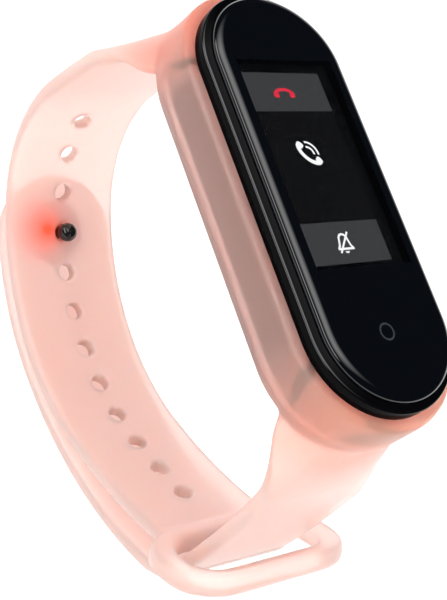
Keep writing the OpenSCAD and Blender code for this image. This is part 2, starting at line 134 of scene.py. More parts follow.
class Shade:
    """One material's node tree, built with plain expressions."""

    def __init__(self, name: str) -> None:
        """Starts an empty material.

        Args:
            name: the material's name.
        """
        self.material = bpy.data.materials.new(name)
        self.material.use_nodes = True
        self.tree = self.material.node_tree
        self.tree.nodes.clear()
        self.output = self.tree.nodes.new("ShaderNodeOutputMaterial")

    def node(self, kind: str, settings: dict[str, object] | None = None,
             inputs: dict[object, object] | None = None, out: object = 0) -> Socket:
        """Adds any node.

        Args:
            kind: the node's type.
            settings: its own settings.
            inputs: values or sockets, by socket name or number.
            out: the output wanted, by name or number.

        Returns:
            That output.
        """
        node = self.tree.nodes.new(kind)
        for key, value in (settings or {}).items():
            setattr(node, key, value)
        for key, value in (inputs or {}).items():
            socket = node.inputs[key]
            if isinstance(value, Socket):
                self.tree.links.new(value.link, socket)
            else:
                socket.default_value = value
        return Socket(self, node.outputs[out])

    def place(self) -> Socket:
        """The point on the object, in metres."""
        return self.node("ShaderNodeTexCoord", out="Object")

    def axes(self) -> tuple[Socket, Socket, Socket]:
        """The three coordinates of the point.

        Returns:
            X, Y and Z in metres.
        """
        split = self.node("ShaderNodeSeparateXYZ", inputs={0: self.place()})
        outs = split.link.node.outputs
        return Socket(self, outs[0]), Socket(self, outs[1]), Socket(self, outs[2])

    def noise(self, scale: float, detail: float = 2.0, rough: float = 0.5) -> Socket:
        """Soft noise between 0 and 1.

        Args:
            scale: lumps for each metre.
            detail: octaves of finer noise.
            rough: strength of the finer noise.

        Returns:
            The noise.
        """
        return self.node("ShaderNodeTexNoise", inputs={
            "Vector": self.place(), "Scale": scale, "Detail": detail, "Roughness": rough})

    def blend(self, mask: Socket, low: object, high: object) -> Socket:
        """One colour fading to another.

        Args:
            mask: 0 for the first colour and 1 for the second.
            low: the first colour.
            high: the second colour.

        Returns:
            The mixed colour.
        """
        def colour(value: object) -> object:
            """A colour with its fourth number."""
            return value if isinstance(value, Socket) else (*value, 1.0)

        return self.node("ShaderNodeMix", {"data_type": "RGBA"},
                         {0: mask, 6: colour(low), 7: colour(high)}, out=2)

    def bump(self, height: Socket, depth: float, strength: float = 0.3) -> Socket:
        """A normal roughened by a height pattern.

        Args:
            height: the pattern.
            depth: its depth in metres.
            strength: how much of it shows.

        Returns:
            The normal.
        """
        return self.node("ShaderNodeBump", inputs={
            "Strength": strength, "Distance": depth, "Height": height})

    def surface(self, **inputs: object) -> Socket:
        """A Principled surface.

        Args:
            inputs: values or sockets by the inputs' names, with _ for a space.

        Returns:
            The shader.
        """
        wanted = {key.replace("_", " "): value for key, value in inputs.items()}
        for key in ("Base Color", "Emission Color"):
            value = wanted.get(key)
            if isinstance(value, tuple):
                wanted[key] = (*value, 1.0)
        return self.node("ShaderNodeBsdfPrincipled", inputs=wanted)

    def done(self, surface: Socket, volume: Socket | None = None) -> bpy.types.Material:
        """Joins the surface to the material's output.

        Args:
            surface: the finished shader.
            volume: the shader of the body below the surface.

        Returns:
            The material.
        """
        self.tree.links.new(surface.link, self.output.inputs["Surface"])
        if volume is not None:
            self.tree.links.new(volume.link, self.output.inputs["Volume"])
        return self.material


@dataclass(frozen=True)
class ClearRubber:
    """Translucent, satin moulded TPU: a clear body with a milky share."""

    name: str = "coral_tpu"
    pale: Colour = (1.0, 0.70, 0.645)
    # deep: partly the thicker rubber's own tone, partly painted shade near the capsule
    deep: Colour = (1.0, 0.40, 0.29)
    # head: deeper salmon at the cradle's head end, partly the thick root's own tone, partly painted
    # shade
    head: Colour = (0.93, 0.27, 0.185)
    # wall: painted shade on the cradle wall, where the black case behind it blocks the light
    wall: Colour = (0.60, 0.35, 0.29)
    # painted glow: the coral cap's light through the rubber, painted into its colour
    glow: Colour = (1.0, 0.13, 0.06)
    absorb: Colour = (1.0, 0.62, 0.55)
    density: float = 30.0
    milk: float = 0.55
    index: float = 1.40
    clear_pale: Colour = (1.0, 0.87, 0.845)
    clear_deep: Colour = (1.0, 0.60, 0.51)
    scatter: Colour = (0.0045, 0.0028, 0.0022)
    # painted glow: the rubber round the stud shines with this light, though it is no lamp
    glow_light: Colour = (1.0, 0.12, 0.06)
    glow_power: float = 0.30
    stud: tuple[float, float, float] = (-0.0024, 0.01935, -0.01832)
    stud_turn: float = -62.5
    stud_lift: float = 0.0016
    glow_edge: Pair = (0.0030, 0.0052)
    glow_reach: Pair = (0.007, 0.002)

    def stud_glow(self, shade: Shade) -> Socket:
        """How strongly the painted glow of the coral cap, as if seen through the rubber, lies round
        the stud.

        Args:
            shade: the material being built.

        Returns:
            A mask that is 1 at the stud.
        """
        x, y, z = shade.axes()
        turn = math.radians(self.stud_turn)
        along = (y - self.stud[1]) * -math.sin(turn) + (z - self.stud[2]) * math.cos(turn)
        out = (y - self.stud[1]) * math.cos(turn) + (z - self.stud[2]) * math.sin(turn)
        across = x - self.stud[0]
        rise = along - self.stud_lift
        soft = ((across * across + rise * rise) ** 0.5).below(*self.glow_edge)
        return soft * soft * abs(out).below(*self.glow_reach)

    def make(self) -> bpy.types.Material:
        """Builds the material.

        Returns:
            The material.
        """
        shade = Shade(self.name)
        _, y, z = shade.axes()
        cloud = shade.noise(70.0, 3.0, 0.55)
        # The rubber is coloured deeper and redder round the cradle and palest over the wrist's
        # back: partly the thicker rubber's own tone, partly painted shade where the capsule blocks
        # the light.
        high = ((z - 0.0125) / 0.012).clamped()
        ends = ((abs(y) - 0.0135) / 0.008).clamped()
        depth = (high * (0.35 + 0.6 * ends) + (cloud - 0.5) * 0.30).clamped()
        # Painted shade: the cradle wall, in front of the black case, is coloured darker brown.
        wall = ((z - 0.0205) / 0.0015).clamped() * (1 - ends)
        # Deeper salmon at the cradle's head end: partly the thick root's own tone, partly painted
        # shade from the capsule.
        head = ((y - 0.0150) / 0.0060).clamped() * ((z - 0.0175) / 0.0060).clamped()
        # Painted glow of the coral cap round the stud, in the colour and as emission.
        glow = self.stud_glow(shade)
        tone_and_shade_colour = shade.blend(depth, self.pale, self.deep)
        wall_shaded = shade.blend(wall * 0.8, tone_and_shade_colour, self.wall)
        colour = shade.blend(glow, shade.blend(head * 0.75, wall_shaded, self.head), self.glow)
        grain, wave = shade.noise(5200.0, 2.0, 0.6), shade.noise(330.0, 2.0, 0.5)
        skin = shade.bump(grain * 0.5 + wave, 0.00005, 0.3)
        clear = shade.surface(
            Base_Color=shade.blend(depth, self.clear_pale, self.clear_deep),
            Roughness=0.26 + 0.12 * cloud, IOR=self.index, Transmission_Weight=1.0, Normal=skin)
        # The milky share carries the painted glow round the stud as emission.
        milky = shade.surface(
            Base_Color=colour, Roughness=0.42 + 0.14 * cloud, IOR=self.index,
            Transmission_Weight=0.25, Subsurface_Weight=0.75,
            Subsurface_Radius=self.scatter, Subsurface_Scale=1.0, Normal=skin,
            Emission_Color=shade.blend(glow, (0.0, 0.0, 0.0), self.glow_light),
            Emission_Strength=self.glow_power)
        share = (self.milk + (cloud - 0.5) * 0.25 - 0.30 * wall + 0.45 * glow).clamped()
        mixed = shade.node("ShaderNodeMixShader", inputs={0: share, 1: clear, 2: milky})
        body = shade.node("ShaderNodeVolumeAbsorption", inputs={
            "Color": (*self.absorb, 1.0), "Density": self.density})
        return shade.done(mixed, body)


@dataclass(frozen=True)
class Polished:
    """A hard, glossy surface with faint handling marks."""

    name: str
    colour: Colour
    rough: float = 0.06
    metal: float = 0.0
    coat: float = 0.0
    marks: float = 0.05
    index: float = 1.5

    def make(self) -> bpy.types.Material:
        """Builds the material.

        Returns:
            The material.
        """
        shade = Shade(self.name)
        smear = shade.noise(420.0, 4.0, 0.62)
        dust = shade.noise(9000.0, 1.0, 0.4)
        dull = tuple(min(1.0, c * 1.35 + 0.002) for c in self.colour)
        return shade.done(shade.surface(
            Base_Color=shade.blend(smear, self.colour, dull),
            Roughness=(self.rough + self.marks * smear).clamped(), Metallic=self.metal,
            IOR=self.index, Coat_Weight=self.coat, Coat_Roughness=0.03,
            Normal=shade.bump(dust, 0.000004, 0.08)))


@dataclass(frozen=True)
class GlossCase:
    """Gloss black case whose polished rim catches more light than its walls."""

    name: str = "gloss_black_case"
    colour: Colour = (0.0012, 0.0012, 0.0015)
    rim: Pair = (0.02936, 0.029515)
    wall_index: float = 1.09

    def make(self) -> bpy.types.Material:
        """Builds the material.

        Returns:
            The material.
        """
        shade = Shade(self.name)
        _, _, z = shade.axes()
        smear = shade.noise(420.0, 4.0, 0.62)
        dust = shade.noise(9000.0, 1.0, 0.4)
        bright = z.below(self.rim[1], 0.00002) * (1 - z.below(self.rim[0], 0.00006))
        return shade.done(shade.surface(
            Base_Color=shade.blend(smear, self.colour, tuple(c * 1.5 for c in self.colour)),
            Roughness=0.10 + 0.05 * smear, IOR=self.wall_index,
            Coat_Weight=0.03 + 0.97 * bright, Coat_Roughness=0.05,
            Normal=shade.bump(dust, 0.000004, 0.08)))


@dataclass(frozen=True)
class Matt:
    """A moulded, printed or cast surface with a fine grain."""

    name: str
    colour: Colour
    other: Colour
    rough: float = 0.55
    metal: float = 0.0
    scale: float = 1600.0
    depth: float = 0.00003

    def make(self) -> bpy.types.Material:
        """Builds the material.

        Returns:
            The material.
        """
        shade = Shade(self.name)
        grain = shade.noise(self.scale, 3.0, 0.6)
        fine = shade.noise(self.scale * 6, 2.0, 0.5)
        return shade.done(shade.surface(
            Base_Color=shade.blend(grain, self.colour, self.other),
            Roughness=(self.rough - 0.1 + 0.2 * grain).clamped(), Metallic=self.metal,
            Normal=shade.bump(grain * 0.5 + fine * 0.5, self.depth, 0.35)))


@dataclass(frozen=True)
class CircuitBoard:
    """Green solder resist over copper tracks, with plated pads."""

    name: str = "circuit_board"
    resist: Colour = (0.012, 0.10, 0.045)
    track: Colour = (0.03, 0.19, 0.08)
    plate: Colour = (0.72, 0.52, 0.20)

    def make(self) -> bpy.types.Material:
        """Builds the material.

        Returns:
            The material.
        """
        shade = Shade(self.name)
        lines = shade.node("ShaderNodeTexBrick", inputs={
            "Vector": shade.place(), "Scale": 900.0, "Mortar Size": 0.08,
            "Color1": (1, 1, 1, 1), "Color2": (0.6, 0.6, 0.6, 1),
            "Mortar": (0, 0, 0, 1)}, out="Fac")
        cells = shade.node("ShaderNodeTexVoronoi", {"feature": "F1"}, {
            "Vector": shade.place(), "Scale": 520.0, "Randomness": 0.75}, out="Distance")
        pads = cells.below(0.16, 0.04)
        colour = shade.blend(pads, shade.blend(lines, self.track, self.resist), self.plate)
        return shade.done(shade.surface(
            Base_Color=colour, Roughness=0.42 - 0.12 * pads, Metallic=pads,
            Normal=shade.bump(lines + pads, 0.00002, 0.3)))


@dataclass(frozen=True)
class Film:
    """Amber polyimide film with copper lines showing through."""

    name: str = "polyimide_film"

    def make(self) -> bpy.types.Material:
        """Builds the material.

        Returns:
            The material.
        """
        shade = Shade(self.name)
        lines = shade.node("ShaderNodeTexWave", {"wave_type": "BANDS", "bands_direction": "X"}, {
            "Vector": shade.place(), "Scale": 900.0, "Distortion": 0.0}, out="Fac")
        copper = lines.below(0.42, 0.2)
        return shade.done(shade.surface(
            Base_Color=shade.blend(copper, (0.62, 0.30, 0.05), (0.72, 0.36, 0.16)),
            Roughness=0.38 - 0.1 * copper, Coat_Weight=0.3 + 0.2 * copper))


@dataclass(frozen=True)
class Lens:
    """Clear optical plastic or glass."""

    name: str
    colour: Colour
    clear: float = 0.85
    rough: float = 0.05
    seen: float = 1.0

    def make(self) -> bpy.types.Material:
        """Builds the material.

        Returns:
            The material.
        """
        shade = Shade(self.name)
        smear = shade.noise(600.0, 2.0, 0.5)
        return shade.done(shade.surface(
            Base_Color=shade.blend(smear, self.colour, tuple(c * 0.94 for c in self.colour)),
            Roughness=(self.rough + 0.04 * smear).clamped(), IOR=1.49,
            Transmission_Weight=self.clear, Alpha=self.seen * (0.97 + 0.03 * smear)))


@dataclass(frozen=True)
class CoverGlass:
    """Black-printed cover glass with a clear window over the display and a printed touch ring."""

    name: str = "cover_glass"
    black: Colour = (0.0011, 0.0015, 0.0024)
    window: Pair = (0.00625, 0.0116)
    window_y: float = 0.0030
    under: float = 0.02966
    touch: Pair = (-0.0006, -0.0155)
    touch_r: float = 0.00082
    touch_print: Colour = (0.030, 0.034, 0.036)

    def make(self) -> bpy.types.Material:
        """Builds the material.

        Returns:
            The material.
        """
        shade = Shade(self.name)
        x, y, z = shade.axes()
        open_part = abs(x).below(self.window[0], 0.0001) * abs(y - self.window_y).below(
            self.window[1], 0.0001)
        across, along = x - self.touch[0], y - self.touch[1]
        far = (across * across + along * along) ** 0.5
        touch = abs(far - self.touch_r).below(0.0001, 0.00006)
        smear = shade.noise(420.0, 4.0, 0.62)
        plain = shade.blend(smear, self.black, tuple(c * 1.5 for c in self.black))
        black = shade.surface(
            Base_Color=shade.blend(touch, plain, self.touch_print),
            Roughness=0.025 + 0.03 * smear, IOR=1.5)
        top = shade.surface(
            Base_Color=shade.blend(smear, (1.0, 1.0, 1.0), (0.985, 0.99, 1.0)),
            Roughness=0.0, IOR=1.22, Transmission_Weight=1.0, Coat_Weight=0.6 + 0.1 * smear,
            Coat_Roughness=0.02)
        bonded = shade.node("ShaderNodeBsdfTransparent")
        glass = shade.node("ShaderNodeMixShader", inputs={
            0: z.below(self.under, 0.00002), 1: top, 2: bonded})
        return shade.done(shade.node("ShaderNodeMixShader", inputs={
            0: open_part, 1: black, 2: glass}))


@dataclass(frozen=True)
class LitPatch:
    """A lit part of the display, under the gloss of the glass."""

    name: str
    light: Colour
    power: float = 1.0

    def make(self) -> bpy.types.Material:
        """Builds the material.

        Returns:
            The material.
        """
        shade = Shade(self.name)
        cells = shade.node("ShaderNodeTexWave", {"wave_type": "BANDS", "bands_direction": "X"}, {
            "Vector": shade.place(), "Scale": 1700.0}, out="Fac")
        glow = shade.blend(cells * 0.12, self.light, tuple(c * 0.8 for c in self.light))
        return shade.done(shade.surface(
            Base_Color=(0.001, 0.001, 0.001), Roughness=0.6, IOR=1.02,
            Emission_Color=glow, Emission_Strength=self.power))


class Finish(Enum):
    """The finishes of the object's materials, by the record's slot names."""

    tpu = ClearRubber()
    gloss_black = GlossCase()
    dark_glass = CoverGlass()
    stud_coral = Matt("stud_coral", (0.92, 0.13, 0.07), (0.86, 0.10, 0.05), 0.4)
    stud_black = Polished("stud_black", (0.006, 0.006, 0.006), 0.08)
    panel = Polished("display_laminate", (0.002, 0.0022, 0.003), 0.3, index=1.02)
    adhesive = Matt("black_foam", (0.02, 0.02, 0.02), (0.045, 0.045, 0.045), 0.85, scale=2600.0)
    clear_bond = Lens("clear_bond", (0.93, 0.95, 0.96), 0.95, seen=0.02)
    flex = Film()
    gold = Polished("gold_plate", (0.83, 0.60, 0.22), 0.22, 1.0, marks=0.12)
    frame_plastic = Matt("frame_nylon", (0.03, 0.03, 0.033), (0.06, 0.06, 0.065), 0.6)
    steel = Matt("stamped_steel", (0.56, 0.57, 0.59), (0.66, 0.67, 0.69),
                 0.34, 1.0, 3000.0, 0.00001)
    board = CircuitBoard()
    chip_resin = Matt("chip_resin", (0.018, 0.018, 0.02), (0.035, 0.035, 0.037), 0.62, scale=5000.0)
    connector = Matt("connector_nylon", (0.66, 0.62, 0.5), (0.76, 0.72, 0.62), 0.5)
    cell_foil = Matt("pouch_foil", (0.55, 0.57, 0.61), (0.68, 0.70, 0.74),
                     0.36, 0.85, 700.0, 0.00005)
    led_resin = Lens("led_resin", (0.45, 0.95, 0.5), 0.6, 0.1)
    diode = Polished("diode_glass", (0.03, 0.035, 0.09), 0.08)
    sensor_glass = Lens("sensor_window", (0.30, 0.35, 0.34), 0.8, 0.03)
    bronze = Matt("sintered_bronze", (0.50, 0.32, 0.13), (0.62, 0.42, 0.2), 0.4, 1.0, 5200.0)
    tungsten = Matt("sintered_tungsten", (0.24, 0.24, 0.26), (0.34, 0.34, 0.36), 0.5, 1.0, 5200.0)


class Paintbox:
    """Makes each finish once and puts it on pieces."""

    def __init__(self) -> None:
        """Starts with no finish made."""
        self.made: dict[str, bpy.types.Material] = {}

    def material(self, finish: object) -> bpy.types.Material:
        """The material of a finish, made at its first use.

        Args:
            finish: a member of Finish, or any dataclass with a make method.

        Returns:
            The material.
        """
        recipe = finish.value if isinstance(finish, Finish) else finish
        if recipe.name not in self.made:
            self.made[recipe.name] = recipe.make()
        return self.made[recipe.name]

    def dress(self, piece: bpy.types.Object, finish: object) -> None:
        """Puts one finish on a whole piece."""
        piece.data.materials.clear()
        piece.data.materials.append(self.material(finish))

    def dress_cad(self) -> None:
        """Gives every CAD node the finish that the record names."""
        slots = {part["node"]: part["material_slot"] for part in frame["record"]["subparts"]}
        for node, piece in frame["nodes"].items():
            self.dress(piece, Finish[slots[node]])
            LOG.info("dressed %s", node)


# ---------------------------------------------------------------- modelling


class Bench:
    """Modelling steps that the pieces share. Sizes are in millimetres."""

    @staticmethod
    def clear() -> None:
        """Leaves edit mode and deselects everything."""
        if bpy.context.object and bpy.context.object.mode != "OBJECT":
            bpy.ops.object.mode_set(mode="OBJECT")
        bpy.ops.object.select_all(action="DESELECT")

    @staticmethod
    def take(*pieces: bpy.types.Object) -> None:
        """Selects these pieces alone and makes the first one active."""
        Bench.clear()
        for piece in pieces:
            piece.select_set(True)
        bpy.context.view_layer.objects.active = pieces[0]

    @staticmethod
    def name(piece: bpy.types.Object, name: str) -> bpy.types.Object:
        """Names a piece and its mesh, and applies its place.

        Args:
            piece: the piece.
            name: its name.

        Returns:
            The same piece.
        """
        Bench.take(piece)
        bpy.ops.object.transform_apply(location=True, rotation=True, scale=True)
        piece.name = name
        piece.data.name = name
        return piece

    @staticmethod
    def pick(piece: bpy.types.Object, wanted: Callable[[Vector], bool]) -> None:
        """Opens a piece in edit mode with some of its points selected.

        Args:
            piece: the piece.
            wanted: says whether a point, in metres, is selected.
        """
        Bench.take(piece)
        bpy.context.tool_settings.mesh_select_mode = (True, False, False)
        bpy.ops.object.mode_set(mode="EDIT")
        bpy.ops.mesh.select_all(action="DESELECT")
        bpy.ops.object.mode_set(mode="OBJECT")
        for point in piece.data.vertices:
            point.select = wanted(point.co)
        bpy.ops.object.mode_set(mode="EDIT")

    @staticmethod
    def turned(name: str, profile: Sequence[Pair], straight: float = 0.0, ring: bool = False,
               steps: int = 128, keep: bool = True) -> bpy.types.Object:
        """Turns a profile about Z, from a circle, then draws it out to a stadium.

        Args:
            name: the piece's name.
            profile: radius and height of each level.
            straight: length of the stadium's straight sides.
            ring: whether the last level closes on the first.
            steps: sides of the circle.
            keep: not used.

        Returns:
            The piece.
        """
        first_r, first_z = profile[0]
        Bench.clear()
        bpy.ops.mesh.primitive_circle_add(
            vertices=steps, radius=first_r * MM, fill_type="NOTHING" if ring else "NGON",
            location=(0, 0, first_z * MM))
        piece = Bench.name(bpy.context.object, name)
        bpy.ops.object.mode_set(mode="EDIT")
        bpy.ops.mesh.select_all(action="SELECT")
        bpy.ops.transform.rotate(value=math.pi / steps, orient_axis="Z", center_override=(0, 0, 0))
        levels = list(profile) + ([profile[0]] if ring else [])
        for (r_from, z_from), (r_to, z_to) in zip(levels, levels[1:]):
            bpy.ops.mesh.extrude_region_move(
                TRANSFORM_OT_translate={"value": (0, 0, (z_to - z_from) * MM)})
            grow = r_to / r_from
            bpy.ops.transform.resize(value=(grow, grow, 1), center_override=(0, 0, z_to * MM))
        bpy.ops.mesh.select_all(action="SELECT")
        bpy.ops.mesh.remove_doubles(threshold=1e-7)
        bpy.ops.mesh.normals_make_consistent(inside=False)
        bpy.ops.object.mode_set(mode="OBJECT")
        if straight:
            for side in (1, -1):
                Bench.pick(piece, lambda co, side=side: co.y * side > 0)
                bpy.ops.transform.translate(value=(0, side * straight / 2 * MM, 0))
                bpy.ops.object.mode_set(mode="OBJECT")
        return piece

    @staticmethod
    def lofted(name: str, rings: np.ndarray, closed: bool = False) -> bpy.types.Object:
        """Lays a grid primitive over rings of points and closes it into a solid.

        Args:
            name: the piece's name.
            rings: array of ring, point and coordinate, in millimetres.
            closed: whether the last ring joins the first.

        Returns:
            The piece.
        """
        if closed:
            rings = np.concatenate([rings, rings[:1]])
        rings = np.concatenate([rings, rings[:, :1]], axis=1)
        rows, columns, _ = rings.shape
        Bench.clear()
        bpy.ops.mesh.primitive_grid_add(
            x_subdivisions=columns - 1, y_subdivisions=rows - 1, size=2)
        piece = bpy.context.object
        count = len(piece.data.vertices)
        where = np.empty(count * 3)
        piece.data.vertices.foreach_get("co", where)
        where = where.reshape(-1, 3)
        column = np.rint((where[:, 0] + 1) / 2 * (columns - 1)).astype(int)
        row = np.rint((where[:, 1] + 1) / 2 * (rows - 1)).astype(int)
        piece.data.vertices.foreach_set("co", (rings[row, column] * MM).ravel())
        piece.data.update()
        Bench.name(piece, name)
        bpy.ops.object.mode_set(mode="EDIT")
        bpy.ops.mesh.select_all(action="SELECT")
        bpy.ops.mesh.remove_doubles(threshold=1e-7)
        bpy.ops.mesh.fill_holes(sides=0)
        bpy.ops.mesh.normals_make_consistent(inside=False)
        bpy.ops.object.mode_set(mode="OBJECT")
        return piece

    @staticmethod
    def modify(piece: bpy.types.Object, kind: str, **settings: object) -> None:
        """Adds one modifier and applies it.

        Args:
            piece: the piece.
            kind: the modifier's type.
            settings: its settings.
        """
        Bench.take(piece)
        modifier = piece.modifiers.new(kind.lower(), kind)
        for key, value in settings.items():
            setattr(modifier, key, value)
        bpy.ops.object.modifier_apply(modifier=modifier.name)

    @staticmethod
    def cut(piece: bpy.types.Object, tool: bpy.types.Object, how: str = "DIFFERENCE") -> None:
        """Cuts a piece with a tool, or adds the tool to it, and removes the tool."""
        Bench.modify(piece, "BOOLEAN", operation=how, object=tool, solver="EXACT")
        bpy.data.objects.remove(tool, do_unlink=True)

    @staticmethod
    def joined(name: str, pieces: Sequence[bpy.types.Object]) -> bpy.types.Object:
        """Joins several pieces in one object.

        Args:
            name: the joined object's name.
            pieces: what is joined.

        Returns:
            The joined object.
        """
        Bench.take(*pieces)
        bpy.ops.object.join()
        return Bench.name(bpy.context.object, name)

    @staticmethod
    def moulded(piece: bpy.types.Object, voxel: float, rounds: int) -> None:
        """Fuses overlapping shells into one skin with small fillets.

        Args:
            piece: the piece, changed in place.
            voxel: size of the remesh, in millimetres.
            rounds: passes of smoothing.
        """
        Bench.modify(piece, "REMESH", mode="VOXEL", voxel_size=voxel * MM, use_smooth_shade=True)
        Bench.modify(piece, "SMOOTH", factor=0.5, iterations=rounds)

    @staticmethod
    def smooth(piece: bpy.types.Object, angle: float = 35.0) -> None:
        """Shades a piece smooth, up to an edge of that many degrees."""
        Bench.take(piece)
        bpy.ops.object.shade_smooth_by_angle(angle=math.radians(angle))

    @staticmethod
    def settle(piece: bpy.types.Object, place: Matrix) -> None:
        """Moves a piece's own mesh by a matrix in metres."""
        piece.data.transform(place)
        piece.data.update()


def polar(centre: Pair, radius: float, degrees: float) -> Pair:
    """A point of the YZ plane at a radius and angle from a centre."""
    turn = math.radians(degrees)
    return centre[0] + radius * math.cos(turn), centre[1] + radius * math.sin(turn)


def nested(centre: Pair, r_from: float, r_to: float, degrees: float) -> Pair:
    """Centre of an arc that leaves another arc smoothly at an angle."""
    return polar(centre, r_from - r_to, degrees)


def angle_of(centre: Pair, point: Pair) -> float:
    """Angle, in degrees, of a point round a centre."""
    return math.degrees(math.atan2(point[1] - centre[1], point[0] - centre[0]))


def run_centre(start: Pair, radius: float, centre: Pair, small: float, side: int) -> Pair:
    """Centre of the large arc from a point that runs smoothly into a smaller arc.

    Args:
        start: the point.
        radius: radius of the large arc.
        centre: centre of the smaller arc.
        small: its radius.
        side: which of the two such arcs.

    Returns:
        The large arc's centre.
    """
    p, c = Vector(start), Vector(centre)
    d = (c - p).length
    along = (radius ** 2 - (radius - small) ** 2 + d * d) / (2 * d)
    across = math.sqrt(radius ** 2 - along ** 2)
    u = (c - p) / d
    found = p + along * u + side * across * Vector((-u.y, u.x))
    return found.x, found.y


@dataclass
class Ring:
    """The strap's path round the wrist, as tangent arcs in the YZ plane."""

    thick: float = 1.8
    gap: float = 0.2
    cradle_end: float = 24.75
    cradle_base: float = 21.0
    wall: float = 1.3
    pitch: float = 5.1
    hole_count: int = 12
    stud_hole: int = 4
    back_centre: Pair = (6.2, 9.3)
    back_radius: float = 29.2
    back_from: float = -57.5
    back_holes: int = 6
    shoulder_radius: float = 16.3
    upper_radius: float = 96.0
    loop_run_radius: float = 68.0
    loop_run_to: float = -144.0
    hinge_angle: float = -94.0
    sling_radius: float = 49.0
    sling_to: float = -131.0
    bend_radius: float = 9.0
    lower_radius: float = 158.0
    slot_length: float = 7.8
    bar_width: float = 2.6

    def __post_init__(self) -> None:
        """Works out the arcs' centres and joints."""
        per_mm = math.degrees(1 / self.back_radius)
        self.back_to = self.back_from - self.back_holes * self.pitch * per_mm
        self.stud_angle = self.back_from - self.pitch / 2 * per_mm
        self.shoulder_centre = nested(
            self.back_centre, self.back_radius, self.shoulder_radius, self.back_from)
        self.loop_centre = nested(
            self.back_centre, self.back_radius, self.loop_run_radius, self.back_to)
        start = (self.cradle_end - self.wall - 0.1, self.cradle_base)
        self.upper_centre = run_centre(
            start, self.upper_radius, self.shoulder_centre, self.shoulder_radius, -1)
        self.upper_from = angle_of(self.upper_centre, start)
        self.shoulder_from = angle_of(self.upper_centre, self.shoulder_centre)
        self.tail_radius = self.back_radius + 2 * self.thick + self.gap
        self.sling_centre = nested(
            self.back_centre, self.tail_radius, self.sling_radius, self.hinge_angle)
        self.bend_centre = nested(
            self.sling_centre, self.sling_radius, self.bend_radius, self.sling_to)
        lower = (-(self.cradle_end - 0.3), self.cradle_base)
        self.lower_centre = run_centre(
            lower, self.lower_radius, self.bend_centre, self.bend_radius, 1)
        self.lower_from = angle_of(self.lower_centre, lower)
        self.bend_to = angle_of(self.lower_centre, self.bend_centre) - 360
        loop_mm = math.degrees(1 / self.loop_run_radius)
        self.loop_length = self.slot_length + 2 * self.bar_width
        self.loop_middle = self.loop_run_to + self.loop_length / 2 * loop_mm
        self.loop_root = self.loop_run_to + (self.loop_length - self.bar_width * 0.6) * loop_mm

    @staticmethod
    def arc(centre: Pair, radius: float, start: float, end: float) -> np.ndarray:
        """Points every half millimetre along an arc.

        Args:
            centre: the arc's centre.
            radius: its radius.
            start: the angle where it starts, in degrees.
            end: the angle where it ends.

        Returns:
            The points.
        """
        count = max(3, int(abs(math.radians(end - start)) * radius / 0.5) + 1)
        turn = np.radians(np.linspace(start, end, count))
        return np.stack([centre[0] + radius * np.cos(turn), centre[1] + radius * np.sin(turn)], 1)

    @staticmethod
    def lead(start: Pair, end: np.ndarray, aim: np.ndarray, pull: float = 3.2) -> np.ndarray:
        """A smooth curve that leaves straight down and meets a path.

        Args:
            start: where it leaves.
            end: where it meets the path.
            aim: the path's direction there.
            pull: how far each end keeps its own direction.

        Returns:
            Its points.
        """
        p0 = np.array(start)
        p1 = p0 + np.array((0.0, -pull))
        p2 = end - aim / np.linalg.norm(aim) * pull
        t = np.linspace(0, 1, 20)[:, None]
        u = 1 - t
        return u ** 3 * p0 + 3 * u ** 2 * t * p1 + 3 * u * t ** 2 * p2 + t ** 3 * end

    def head_side(self) -> "Track":
        """Outer face from the cradle's head over the back to the loop.

        Returns:
            The path.
        """
        t = self.thick
        run = [
            self.arc(self.upper_centre, self.upper_radius + t,
                     self.upper_from - 1.2, self.shoulder_from),
            self.arc(self.shoulder_centre, self.shoulder_radius + t,
                     self.shoulder_from, self.back_from),
            self.arc(self.back_centre, self.back_radius + t, self.back_from, self.back_to),
            self.arc(self.loop_centre, self.loop_run_radius + t, self.back_to, self.loop_run_to),
        ]
        first = self.lead((self.cradle_end, 28.0), run[0][0], run[0][1] - run[0][0])
        return Track([first, *run])

    def foot_side(self) -> "Track":
        """Outer face from the cradle's foot down into the loop's slot.

        Returns:
            The path.
        """
        run = self.arc(self.lower_centre, self.lower_radius, self.lower_from - 360, self.bend_to)
        bend = self.arc(self.bend_centre, self.bend_radius, self.bend_to, self.sling_to)
        first = self.lead((-self.cradle_end, 28.0), run[2], run[3] - run[2], 2.4)
        return Track([first, run[2:], bend])

    def tail_side(self) -> "Track":
        """Outer face from inside the slot to the tail's tip.

        Returns:
            The path.
        """
        past = self.stud_angle + math.degrees(7.8 / self.tail_radius)
        return Track([
            self.arc(self.lower_centre, self.lower_radius, self.bend_to + 1.2, self.bend_to),
            self.arc(self.bend_centre, self.bend_radius, self.bend_to, self.sling_to),
            self.arc(self.sling_centre, self.sling_radius, self.sling_to, self.hinge_angle),
            self.arc(self.back_centre, self.tail_radius, self.hinge_angle, past),
        ])

    def hole(self, number: int) -> tuple[Pair, float, float]:
        """Centre, radius and angle of the arc point where a hole lies.

        Args:
            number: the hole, counted from the cradle.

        Returns:
            The arc's centre, its inner radius and the angle.
        """
        s = (number - self.stud_hole) * self.pitch
        lead = self.pitch / 2
        left = (self.back_holes - 0.5) * self.pitch
        if s < -lead:
            return (self.shoulder_centre, self.shoulder_radius,
                    self.back_from + math.degrees((-s - lead) / self.shoulder_radius))
        if s < left:
            return (self.back_centre, self.back_radius,
                    self.stud_angle - math.degrees(s / self.back_radius))
        return (self.loop_centre, self.loop_run_radius,
                self.back_to - math.degrees((s - left) / self.loop_run_radius))

    @staticmethod
    def seat(centre: Pair, radius: float, degrees: float) -> Matrix:
        """Matrix that puts a piece's Z axis outwards at a point of an arc.

        Args:
            centre: the arc's centre.
            radius: its radius.
            degrees: the angle of the point.

        Returns:
            The matrix, in metres.
        """
        y, z = polar(centre, radius, degrees)
        place = Matrix.Translation((0, y * MM, z * MM))
        return place @ Matrix.Rotation(math.radians(degrees - 90), 4, "X")


